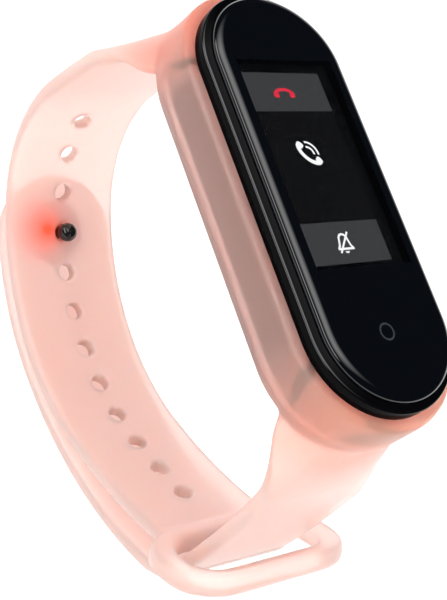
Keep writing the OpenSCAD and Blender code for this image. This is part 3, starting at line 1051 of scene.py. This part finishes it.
class Track:
    """A path in the YZ plane, measured along its length."""

    def __init__(self, runs: Sequence[np.ndarray]) -> None:
        """Joins the runs and measures them.

        Args:
            runs: the stretches of the path, each a row of points.
        """
        points = [runs[0]]
        for run in runs[1:]:
            points.append(run[1:] if np.allclose(run[0], points[-1][-1], atol=1e-6) else run)
        self.points = np.concatenate(points)
        steps = np.linalg.norm(np.diff(self.points, axis=0), axis=1)
        self.marks = np.concatenate([[0.0], np.cumsum(steps)])
        self.length = float(self.marks[-1])
        tangent = np.gradient(self.points, self.marks, axis=0)
        self.tangents = tangent / np.linalg.norm(tangent, axis=1)[:, None]

    def at(self, s: np.ndarray) -> tuple[np.ndarray, np.ndarray]:
        """Points and directions at distances along the path.

        Args:
            s: the distances.

        Returns:
            The points and the unit directions.
        """
        inside = np.clip(s, 0, self.length)
        point = np.stack([np.interp(inside, self.marks, self.points[:, i]) for i in (0, 1)], -1)
        along = np.stack([np.interp(inside, self.marks, self.tangents[:, i]) for i in (0, 1)], -1)
        along = along / np.linalg.norm(along, axis=-1, keepdims=True)
        return point + along * (s - inside)[..., None], along

    def laid(self, x: np.ndarray, s: np.ndarray, out: np.ndarray, outward: int) -> np.ndarray:
        """Puts points beside, along and off the path.

        Args:
            x: distance across the strap.
            s: distance along the path.
            out: distance off its outer face.
            outward: 1 or -1, the side of the path that faces out.

        Returns:
            The points in space.
        """
        point, along = self.at(s)
        normal = np.stack([along[..., 1], -along[..., 0]], -1) * outward
        spot = point + normal * out[..., None]
        return np.stack([x, spot[..., 0], spot[..., 1]], -1)


@dataclass
class Section:
    """Cross-section of the strap: a bowed bar with rounded edges."""

    thick: float = 1.8
    bulge: float = 0.72
    face_points: int = 22
    edge_points: int = 7

    def points(self, half: float, bow: float) -> np.ndarray:
        """The outline for one half width and bow.

        Args:
            half: half the strap's width.
            bow: how far the edges fall behind the middle.

        Returns:
            Distances across and off the outer face.
        """
        reach = half - self.bulge * (1 - min(1.0, bow / half))
        turn = np.radians(np.linspace(-84, 84, self.face_points))
        outer = np.stack([reach * np.sin(turn), -bow * (1 - np.cos(turn))], 1)
        normal = np.stack([bow * np.sin(turn), half * np.cos(turn)], 1)
        normal /= np.linalg.norm(normal, axis=1)[:, None]
        inner = outer - self.thick * normal
        ends = []
        for k in (-1, 0):
            middle = (outer[k] + inner[k]) / 2
            across = (outer[k] - inner[k]) / 2
            side = np.array([across[1], -across[0]]) * (1 if k == -1 else -1)
            side = side / np.linalg.norm(side) * self.bulge
            angles = np.linspace(0, math.pi, self.edge_points + 2)[1:-1]
            if k == 0:
                angles = angles[::-1]
            ends.append(np.array([
                middle + across * math.cos(a) + side * math.sin(a) ** 0.8 for a in angles]))
        return np.concatenate([outer, ends[0], inner[::-1], ends[1]])


@dataclass
class Strap:
    """The moulded strap: cradle, run over the back, loop and lower run."""

    ring: Ring
    straight: float = 29.0
    cradle_r: float = 10.25
    pocket_r: float = 8.43
    foot_r: float = 7.33
    top: float = 28.0
    base: float = 21.0
    half_width: float = 7.8
    root_half: float = 10.25
    root_fade: float = 22.0
    bow_fade: float = 18.0
    hole_r: float = 1.1
    loop_width: float = 23.0
    slot_width: float = 17.0
    loop_thick: float = 2.6
    voxel: float = 0.3
    section: Section = field(default_factory=Section)

    def half_at(self, s: float) -> float:
        """Half the strap's width at a distance from the cradle's rim."""
        left = max(0.0, 1 - s / self.root_fade)
        return self.half_width + (self.root_half - self.half_width) * left ** 1.6

    def bow_at(self, s: float) -> float:
        """How far the strap's edges fall behind its middle."""
        left = max(0.0, 1 - s / self.bow_fade)
        return self.root_half * left ** 1.4

    def cradle(self) -> bpy.types.Object:
        """The ring of the cradle round the capsule.

        Returns:
            The ring.
        """
        r = self.cradle_r
        profile = [
            (r - 0.32, self.top), (r - 0.12, self.top - 0.12), (r - 0.03, self.top - 0.4),
            (r, self.top - 1.2), (r, self.base + 2.4), (r - 0.05, self.base + 1.7),
            (r - 0.25, self.base + 1.05), (r - 0.6, self.base + 0.5), (r - 1.05, self.base + 0.15),
            (r - 1.6, self.base), (self.foot_r + 0.2, self.base), (self.foot_r, self.base + 0.12),
            (self.foot_r, self.base + 0.22), (self.pocket_r, self.base + 1.62),
            (self.pocket_r, self.top - 0.1), (self.pocket_r + 0.1, self.top)]
        return Bench.turned("cradle", profile, self.straight, ring=True)

    def run(self, name: str, track: Track, start: float, end: float, outward: int,
            half: Callable[[float], float], bow: Callable[[float], float]) -> bpy.types.Object:
        """One stretch of strap lofted along a path.

        Args:
            name: the piece's name.
            track: the path of its outer face.
            start: distance where it starts.
            end: distance where it ends.
            outward: the side of the path that faces out.
            half: half its width by distance.
            bow: its bow by distance.

        Returns:
            The stretch.
        """
        rings = []
        for s in np.linspace(start, end, max(8, int(abs(end - start) / 0.9))):
            outline = self.section.points(half(s), bow(s))
            along = np.full(len(outline), s)
            rings.append(track.laid(outline[:, 0], along, outline[:, 1], outward))
        return Bench.lofted(name, np.array(rings))

    def loop(self, track: Track) -> bpy.types.Object:
        """The loop at the strap's end: a rounded bar round a slot.

        Args:
            track: the path of the outer face that it ends.

        Returns:
            The loop.
        """
        ring = self.ring
        middle = track.length - ring.loop_length / 2

        def outline(width: float, length: float, corner: float) -> np.ndarray:
            """Points round a rounded rectangle, the same number on each side.

            Args:
                width: its width across the strap.
                length: its length along the strap.
                corner: its corners' radius.

            Returns:
                The points.
            """
            points = []
            for k in range(4):
                sx, sy = ((1, 1), (-1, 1), (-1, -1), (1, -1))[k]
                cx, cy = sx * (width / 2 - corner), sy * (length / 2 - corner)
                for a in np.radians(np.linspace(k * 90, k * 90 + 90, 12)):
                    points.append((cx + corner * math.cos(a), cy + corner * math.sin(a)))
            points = np.array(points)
            dense = []
            for p, q in zip(points, np.roll(points, -1, axis=0)):
                parts = 10 if np.linalg.norm(q - p) > 1.5 else 1
                dense += [p + (q - p) * i / parts for i in range(parts)]
            return np.array(dense)

        outer = outline(self.loop_width, ring.loop_length, 5.6)
        inner = outline(self.slot_width, ring.slot_length, 3.0)
        rings = []
        for p, q in zip(outer, inner):
            centre, reach = (p + q) / 2, (p - q) / 2
            turn = np.linspace(0, 2 * math.pi, 20, endpoint=False)
            c, s = np.cos(turn), np.sin(turn)
            c, s = np.sign(c) * np.abs(c) ** 0.6, np.sign(s) * np.abs(s) ** 0.6
            flat = centre + reach * c[:, None]
            out = -ring.thick / 2 + s * self.loop_thick / 2
            rings.append(track.laid(flat[:, 0], middle + flat[:, 1], out, -1))
        return Bench.lofted("loop", np.array(rings), closed=True)

    def hole_tool(self) -> bpy.types.Object:
        """The pins that cut the sizing holes, with a small lead at each end.

        Returns:
            The pins.
        """
        pins = []
        for number in range(1, self.ring.hole_count + 1):
            pin = Bench.turned(f"pin_{number}", [
                (self.hole_r + 0.5, -1.4), (self.hole_r + 0.12, -0.16), (self.hole_r, 0.1),
                (self.hole_r, 1.7), (self.hole_r + 0.12, 1.96), (self.hole_r + 0.5, 3.2)], steps=40)
            Bench.settle(pin, self.ring.seat(*self.ring.hole(number)))
            pins.append(pin)
        return Bench.joined("pins", pins)

    def build(self) -> bpy.types.Object:
        """Builds the whole moulding.

        Returns:
            The piece.
        """
        head, foot = self.ring.head_side(), self.ring.foot_side()
        slot_end = foot.length - self.tail_start()
        parts = [
            self.cradle(),
            self.run("upper", head, 0.25, head.length - self.ring.loop_length + 1.2, -1,
                     self.half_at, self.bow_at),
            self.run("lower", foot, 0.25, slot_end, 1, self.half_at, self.bow_at),
        ]
        Bench.cut(parts[1], self.hole_tool())
        parts.append(self.loop(head))
        piece = Bench.joined("strap_moulding", parts)
        Bench.moulded(piece, self.voxel, 8)
        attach(piece, "strap")
        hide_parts("strap_cradle", "holed_strap", "clasp_loop", "lower_strap")
        return piece

    def tail_start(self) -> float:
        """Length of the bend that belongs to the free tail."""
        return math.radians(abs(self.ring.bend_to - self.ring.sling_to)) * self.ring.bend_radius


@dataclass
class FreeTail:
    """The strap's free end, which lies over the holed strap and carries the stud."""

    strap: Strap
    recess_r: float = 4.05
    recess_depth: float = 0.9
    neck_r: float = 1.05
    voxel: float = 0.27

    def half_at(self, s: float, track: Track) -> float:
        """Half the tail's width, round at its tip.

        Args:
            s: distance along the path.
            track: the path.

        Returns:
            Half the width there.
        """
        half = self.strap.half_width
        left = max(0.0, track.length - s)
        if left > half:
            return half
        return max(0.9, math.sqrt(max(0.0, half ** 2 - (half - left) ** 2)))

    def build(self) -> bpy.types.Object:
        """Builds the tail.

        Returns:
            The piece.
        """
        ring = self.strap.ring
        track = ring.tail_side()
        start = math.radians(1.2) * ring.lower_radius
        half = self.strap.half_width
        stops = np.concatenate([
            np.linspace(start, track.length - half, 66),
            track.length - half * (1 - np.sin(np.linspace(0.05, math.pi / 2, 22)))])
        rings = []
        for s in stops:
            outline = self.strap.section.points(self.half_at(float(s), track), 0.0)
            rings.append(track.laid(outline[:, 0], np.full(len(outline), s), outline[:, 1], 1))
        piece = Bench.lofted("free_tail", np.array(rings))
        seat = ring.seat(ring.back_centre, ring.tail_radius, ring.stud_angle)
        for radius, low, high in (
                (self.recess_r, -self.recess_depth, 3.0), (self.neck_r, -4.0, 1.0)):
            tool = Bench.turned("recess", [(radius, low), (radius, high)], steps=64)
            Bench.settle(tool, seat)
            Bench.cut(piece, tool)
        Bench.moulded(piece, self.voxel, 5)
        bend_at = Vector((0, *polar(ring.back_centre, ring.tail_radius, ring.hinge_angle))) * MM
        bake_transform(piece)
        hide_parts("strap_tail")
        return piece


@dataclass
class Stud:
    """The push stud: black head and neck through the hole, coral cap outside."""

    ring: Ring
    head_r: float = 1.2
    neck_r: float = 0.75
    cap_r: float = 4.0

    def seat(self) -> Matrix:
        """Place of the stud on the tail's outer face."""
        return self.ring.seat(self.ring.back_centre, self.ring.tail_radius, self.ring.stud_angle)

    def post(self) -> bpy.types.Object:
        """The neck and round head.

        Returns:
            The piece.
        """
        low = -(2 * self.ring.thick + self.ring.gap + self.head_r * 0.75)
        ball = [(self.head_r * math.sin(a), low - self.head_r * math.cos(a))
                for a in np.radians(np.linspace(8, 140, 18))]
        neck = [(self.neck_r, low + 1.25), (self.neck_r, -1.75),
                (1.0, -1.55), (1.0, -0.92), (0.6, -0.88)]
        piece = Bench.turned("stud_head", ball + neck, steps=64)
        Bench.settle(piece, self.seat())
        Bench.smooth(piece, 40)
        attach(piece, "tail")
        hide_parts("stud_post")
        return piece

    def cap(self) -> bpy.types.Object:
        """The low domed cap in the tail's recess.

        Returns:
            The piece.
        """
        r = self.cap_r
        dome = [(r * math.cos(a), 0.62 + 0.75 * math.sin(a) - 0.75)
                for a in np.radians(np.linspace(0, 86, 14))]
        profile = [(1.2, -0.88), (r - 0.15, -0.88), (r, -0.75), *dome]
        piece = Bench.turned("stud_button", profile, steps=96)
        Bench.settle(piece, self.seat())
        Bench.smooth(piece, 40)
        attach(piece, "tail")
        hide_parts("stud_cap")
        return piece


@dataclass
class Capsule:
    """The tracker's case and its curved cover glass."""

    straight: float = 29.0
    end_r: float = 8.95
    body_r: float = 8.35
    foot_r: float = 7.25
    glass_r: float = 8.05
    flat_r: float = 6.75
    glass_base: float = 29.608
    glass_top: float = 30.7
    window_r: float = 4.2
    sensor_y: float = 2.0
    contact: Pair = (2.4, -16.15)
    contact_r: float = 0.9
    post_y: float = 19.05
    post_r: float = 1.3
    bore_r: float = 0.5

    def case(self) -> bpy.types.Object:
        """The case tub, with its flange, sloping shoulder and sensor bump.

        Returns:
            The piece.
        """
        profile = [
            (self.foot_r - 0.62, 19.5), (self.foot_r - 0.3, 19.56), (self.foot_r - 0.09, 19.75),
            (self.foot_r, 20.05), (self.foot_r, 21.25), (self.foot_r + 0.05, 21.35),
            (self.body_r - 0.05, 22.62), (self.body_r, 22.72), (self.body_r, 28.0),
            (self.end_r - 0.05, 28.0), (self.end_r, 28.05), (self.end_r, 29.3),
            (self.end_r - 0.05, 29.42), (self.end_r - 0.16, 29.5), (self.end_r - 0.24, 29.52),
            (self.glass_r + 0.09, 29.8), (self.glass_r + 0.07, 29.45), (7.25, 29.44),
            (7.25, 23.1), (6.15, 21.7), (6.15, 20.4)]
        piece = Bench.turned("case_shell", profile, self.straight)
        bump = Bench.turned("bump", [
            (4.8, 18.9), (5.05, 18.98), (5.2, 19.15), (5.45, 19.6), (5.0, 19.9)], steps=96)
        cuts = [("window", self.window_r, (17.0, 21.5), 96, (0.0, self.sensor_y), "DIFFERENCE")]
        cuts += [("contact", self.contact_r, (18.5, 21.5), 48,
                  (side * self.contact[0], self.contact[1]), "DIFFERENCE") for side in (-1, 1)]
        for side in (-1, 1):
            place = (0.0, side * self.post_y)
            cuts.append(("post", self.post_r, (20.3, 24.99), 48, place, "UNION"))
            cuts.append(("bore", self.bore_r, (22.5, 26.0), 32, place, "DIFFERENCE"))
        Bench.settle(bump, Matrix.Translation((0, self.sensor_y * MM, 0)))
        Bench.cut(piece, bump, "UNION")
        for name, radius, (low, high), steps, (x, y), how in cuts:
            tool = Bench.turned(name, [(radius, low), (radius, high)], steps=steps)
            Bench.settle(tool, Matrix.Translation((x * MM, y * MM, 0)))
            Bench.cut(piece, tool, how)
        Bench.smooth(piece, 32)
        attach(piece, "tracker")
        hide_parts("case_tub")
        return piece

    def glass(self) -> bpy.types.Object:
        """The cover glass: flat in the middle and rounded off to its rim.

        Returns:
            The piece.
        """
        fall_r, fall_z = self.glass_r - self.flat_r, 0.75
        rim = [(self.flat_r + fall_r * math.cos(a), self.glass_top - fall_z + fall_z * math.sin(a))
               for a in np.radians(np.linspace(0, 90, 16))]
        profile = [(self.glass_r - 0.06, self.glass_base),
                   (self.glass_r, self.glass_base + 0.05), *rim]
        piece = Bench.turned("cover_lens", profile, self.straight, steps=160)
        Bench.smooth(piece, 30)
        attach(piece, "tracker")
        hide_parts("cover_glass")
        return piece


class Glyph(Enum):
    """The generic signs on the display."""

    DECLINE = "decline"
    ANSWER = "answer"
    MUTE = "mute"


@dataclass
class Display:
    """The lit picture: two grey bands with a sign on each and a third sign between them."""

    level: float = 29.452
    skin: float = 0.004
    width: float = 10.8
    middle: Pair = (-0.7, 2.9)
    length: float = 21.5
    band: float = 4.5

    def strip(self, name: str, points: Sequence[Pair], widths: Sequence[float],
              lift: float = 0.006) -> bpy.types.Object:
        """A flat stroke whose width changes along it.

        Args:
            name: its name.
            points: its middle line.
            widths: its full width at each point.
            lift: how far it lies above the display's level.

        Returns:
            The stroke.
        """
        line = np.array(points, float)
        along = np.gradient(line, axis=0)
        along /= np.linalg.norm(along, axis=1)[:, None]
        side = np.stack([-along[:, 1], along[:, 0]], 1) * (np.array(widths) / 2)[:, None]
        low, high = self.level + 0.006 + lift, self.level + 0.006 + lift + self.skin
        rings = [[(*(p - q), low), (*(p + q), low), (*(p + q), high), (*(p - q), high)]
                 for p, q in zip(line, side)]
        return Bench.lofted(name, np.array(rings))

    def panel(self, name: str, y_low: float, y_high: float) -> bpy.types.Object:
        """A plain lit rectangle across the display.

        Args:
            name: its name.
            y_low: where it starts along the display.
            y_high: where it ends.

        Returns:
            The rectangle.
        """
        middle = (y_low + y_high) / 2
        x = self.middle[0]
        ends = [(x - self.width / 2, middle), (x, middle), (x + self.width / 2, middle)]
        return self.strip(name, ends, [y_high - y_low] * 3, -0.006)

    @staticmethod
    def arc(centre: Pair, radius: float, start: float, end: float, count: int) -> list[Pair]:
        """Points of an arc on the display."""
        return [polar(centre, radius, a) for a in np.linspace(start, end, count)]

    def handset(self, name: str, centre: Pair, size: float, turn: float) -> bpy.types.Object:
        """A telephone handset: a bow with a thick pad at each end.

        Args:
            name: its name.
            centre: its middle.
            size: its length.
            turn: its turn in degrees; at 0 it lies with its back up.

        Returns:
            The sign.
        """
        aim = math.radians(turn)

        def put(points: Sequence[Pair]) -> list[Pair]:
            """Scales, turns and moves points drawn on a unit square."""
            return [(centre[0] + size * (x * math.cos(aim) - y * math.sin(aim)),
                     centre[1] + size * (x * math.sin(aim) + y * math.cos(aim))) for x, y in points]

        bow = [(0.5 * math.sin(a), 0.5 * math.cos(a) * 0.6 - 0.2)
               for a in np.radians(np.linspace(-80, 80, 25))]
        share = np.abs(np.linspace(-1, 1, 25))
        parts = [self.strip(name, put(bow), size * (0.15 + 0.05 * share ** 2))]
        for side in (-1, 1):
            ear = [(side * x, y) for x, y in (
                (0.30, -0.20), (0.33, -0.20), (0.42, -0.19), (0.53, -0.17), (0.58, -0.16))]
            widths = [size * w for w in (0.13, 0.2, 0.25, 0.22, 0.12)]
            parts.append(self.strip(f"{name}_pad", put(ear), widths))
        return Bench.joined(name, parts)

    def sign(self, glyph: Glyph) -> bpy.types.Object:
        """Builds one sign.

        Args:
            glyph: which sign.

        Returns:
            The sign.
        """
        x, y = self.middle
        if glyph is Glyph.DECLINE:
            return self.handset("decline_sign", (x - 0.2, y + 8.55), 2.35, 0)
        if glyph is Glyph.ANSWER:
            phone = self.handset("answer_sign", (x - 0.3, y + 1.1), 2.9, 135)
            waves = [self.strip("wave", self.arc((x - 0.15, y + 1.35), r, -5, 88, 14), [0.22] * 14)
                     for r in (0.8, 1.35)]
            return Bench.joined("answer_sign", [phone, *waves])
        y -= 8.5
        side = [(0.95, -0.62), (0.72, -0.35), (0.6, 0.1), (0.5, 0.55), (0.28, 0.82), (0.0, 0.9)]
        bell = [(x - h, y + v) for h, v in side] + [(x + h, y + v) for h, v in side[-2::-1]]
        lip = [(x - 1.05, y - 0.68), (x, y - 0.68), (x + 1.05, y - 0.68)]
        slash = [(x - 0.85, y - 1.1), (x, y), (x + 0.85, y + 1.1)]
        parts = [self.strip("mute_sign", bell, [0.24] * len(bell)),
                 self.strip("lip", lip, [0.24] * 3),
                 self.strip("clapper", [(x, y - 0.95), (x, y - 1.15)], [0.6, 0.3]),
                 self.strip("slash", slash, [0.22] * 3)]
        return Bench.joined("mute_sign", parts)

    def build(self, paint: Paintbox) -> None:
        """Builds and lights the whole picture.

        Args:
            paint: makes the lit finishes.
        """
        grey = LitPatch("lit_grey", (0.046, 0.047, 0.05))
        dark = LitPatch("lit_dark", (0.0035, 0.0036, 0.004))
        white = LitPatch("lit_white", (1.0, 1.0, 1.0), 1.0)
        red = LitPatch("lit_red", (0.78, 0.03, 0.06), 1.0)
        low, high = self.middle[1] - self.length / 2, self.middle[1] + self.length / 2
        lower, upper = low + self.band, high - self.band
        pieces = [
            (self.panel("upper_band", upper, high), grey),
            (self.panel("middle_band", lower, upper), dark),
            (self.panel("lower_band", low, lower), grey),
            (self.sign(Glyph.DECLINE), red), (self.sign(Glyph.ANSWER), white),
            (self.sign(Glyph.MUTE), white)]
        for piece, light in pieces:
            paint.dress(piece, light)
            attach(piece, "tracker")
            LOG.info("lit %s", piece.name)


@dataclass
class Studio:
    """Floor, lights and camera."""

    floor_z: float = -0.06
    tent_r: float = 1.4
    lens: float = 79.124
    place: tuple[float, float, float] = (-0.0888045, -0.0434822, 0.1151677)
    rows: tuple[tuple[float, float, float], ...] = (
        (0.7842484, 0.0869674, -0.6143217), (-0.3247109, 0.9012358, -0.2869439),
        (0.5286940, 0.4245123, 0.7350320))

    def floor(self) -> None:
        """A plain pale floor."""
        Bench.clear()
        bpy.ops.mesh.primitive_plane_add(size=6, location=(0, 0, self.floor_z))
        floor = bpy.context.object
        floor.name = "floor"
        shade = Shade("pale_floor")
        speck = shade.noise(40.0, 2.0)
        floor.data.materials.append(shade.done(shade.surface(
            Base_Color=shade.blend(speck, (0.93, 0.93, 0.93), (0.95, 0.95, 0.95)), Roughness=0.9,
            Specular_IOR_Level=0.0)))

    def sky(self) -> None:
        """An even white dome."""
        world = bpy.data.worlds.new("studio")
        bpy.context.scene.world = world
        world.use_nodes = True
        back = world.node_tree.nodes["Background"]
        back.inputs["Color"].default_value = (1, 1, 1, 1)
        back.inputs["Strength"].default_value = 1.6

    def softbox(self, shade: Shade, aim: Vector, across: Vector, size: Pair, soft: float) -> Socket:
        """A soft-edged bright patch of the tent.

        Args:
            shade: the tent's material.
            aim: direction from the object to the patch.
            across: direction of its long side.
            size: half its long and half its short side, as sines of angles.
            soft: width of its soft edge.

        Returns:
            A mask that is 1 on the patch.
        """
        facing = aim.normalized()
        long_side = (across - across.dot(facing) * facing).normalized()
        short_side = facing.cross(long_side)
        spots = [shade.node("ShaderNodeVectorMath", {"operation": "DOT_PRODUCT"},
                            {0: shade.place(), 1: tuple(side / self.tent_r)}, out="Value")
                 for side in (facing, long_side, short_side)]
        front = (spots[0] * 20).clamped()
        return front * abs(spots[1]).below(size[0], soft) * abs(spots[2]).below(size[1], soft)

    def tent(self) -> None:
        """A dark tent with three softboxes that only gloss sees, so that black stays black."""
        Bench.clear()
        bpy.ops.mesh.primitive_uv_sphere_add(segments=64, ring_count=32, radius=self.tent_r)
        tent = bpy.context.object
        tent.name = "tent"
        Bench.smooth(tent, 60)
        shade = Shade("tent_cloth")
        left, edge, right = (self.softbox(shade, Vector(aim), Vector(across), size, soft)
                             for aim, across, size, soft in (
                                 ((-0.20, 0.29, 0.94), (0, 1, 0), (0.50, 0.30), 0.34),
                                 ((-0.83, 0.29, 0.48), (0, 1, 0), (0.60, 0.12), 0.12),
                                 ((0.95, 0.28, -0.1), (0, 1, 0.3), (0.5, 0.22), 0.2)))
        bright = (left * 0.42 + edge * 0.55 + right * 0.14).clamped()
        glow = shade.node("ShaderNodeEmission", inputs={
            "Color": shade.blend(bright, (0.0016, 0.0018, 0.0022), (1.0, 1.0, 1.0)),
            "Strength": 10.0})
        tent.data.materials.append(shade.done(glow))
        for ray in ("camera", "diffuse", "transmission", "volume_scatter", "shadow"):
            setattr(tent, f"visible_{ray}", False)

    def camera(self) -> None:
        """The camera at its solved place."""
        data = bpy.data.cameras.new("camera")
        data.lens = self.lens
        data.sensor_width = 36.0
        data.clip_start, data.clip_end = 0.01, 20.0
        camera = bpy.data.objects.new("camera", data)
        bpy.context.scene.collection.objects.link(camera)
        turn = Matrix(self.rows).to_4x4()
        camera.matrix_world = Matrix.Translation(self.place) @ turn
        bpy.context.scene.camera = camera

    def build(self) -> None:
        """Sets up the whole studio."""
        self.floor()
        self.sky()
        self.tent()
        self.camera()
        view = bpy.context.scene.view_settings
        view.view_transform = "Standard"
        view.look = "None"


def main() -> None:
    """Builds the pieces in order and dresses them."""
    logging.basicConfig(level=logging.INFO, format="%(message)s")
    paint = Paintbox()
    paint.dress_cad()
    ring = Ring()
    strap = Strap(ring)
    capsule = Capsule()
    stud = Stud(ring)
    for make, finish in (
            (strap.build, Finish.tpu), (FreeTail(strap).build, Finish.tpu),
            (stud.post, Finish.stud_black), (stud.cap, Finish.stud_coral),
            (capsule.case, Finish.gloss_black), (capsule.glass, Finish.dark_glass)):
        piece = make()
        paint.dress(piece, finish)
        LOG.info("made %s with %d faces", piece.name, len(piece.data.polygons))
    Display().build(paint)
    Studio().build()


if __name__ == "__main__":
    main()
